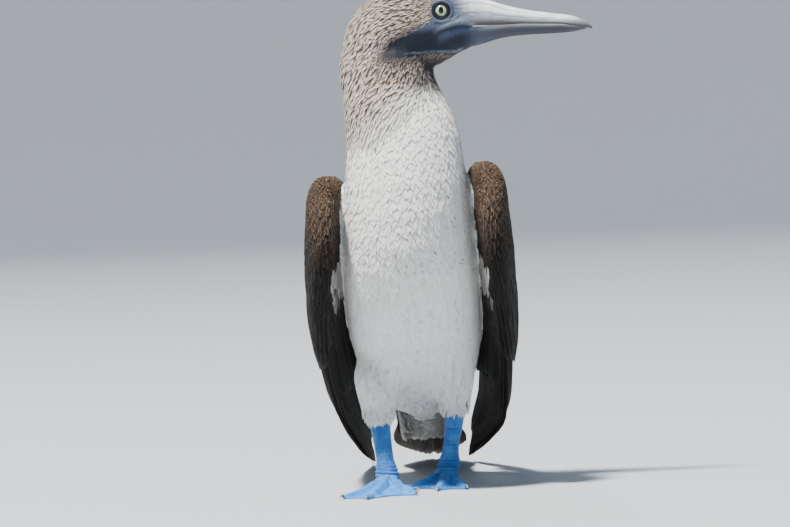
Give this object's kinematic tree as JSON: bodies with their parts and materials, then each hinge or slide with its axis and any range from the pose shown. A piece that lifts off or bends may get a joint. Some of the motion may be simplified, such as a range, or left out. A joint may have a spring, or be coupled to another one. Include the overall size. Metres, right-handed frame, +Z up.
{
  "type": "blue-footed booby model",
  "caption": "Life-size still model of a blue-footed booby standing on webbed feet, chest to the front, head turned to its left.",
  "frame": {"origin": "middle of the bird's box at the floor that it stands on", "axes": "+Z up, the chest faces -Y, and the bill points along +X to the bird's left"},
  "size_m": [0.2546, 0.4302, 0.4303],
  "materials": {
    "streaked_plumage": "matt pale head and neck feathers with fine brown streaks",
    "white_plumage": "soft white breast and belly feathers",
    "brown_plumage": "matt dark brown wing and tail feathers, paler at the edges",
    "bill_horn": "satin blue-grey horn",
    "eye": "wet pale yellow iris with a dark pupil",
    "blue_skin": "satin scaled bright blue skin",
    "claw_horn": "satin grey horn"
  },
  "bodies": {
    "root": {"bill_lower": "bill_horn", "bill_upper": "bill_horn", "claw_left_1": "claw_horn", "claw_left_2": "claw_horn", "claw_left_3": "claw_horn", "claw_left_4": "claw_horn", "claw_right_1": "claw_horn", "claw_right_2": "claw_horn", "claw_right_3": "claw_horn", "claw_right_4": "claw_horn", "eye_left": "eye", "eye_right": "eye", "foot_left": "blue_skin", "foot_right": "blue_skin", "head": "streaked_plumage", "neck": "streaked_plumage", "tail": "brown_plumage", "tarsus_left": "blue_skin", "tarsus_right": "blue_skin", "thigh_left": "white_plumage", "thigh_right": "white_plumage", "torso": "white_plumage", "wing_left": "brown_plumage", "wing_right": "brown_plumage"}
  },
  "joints": []
}
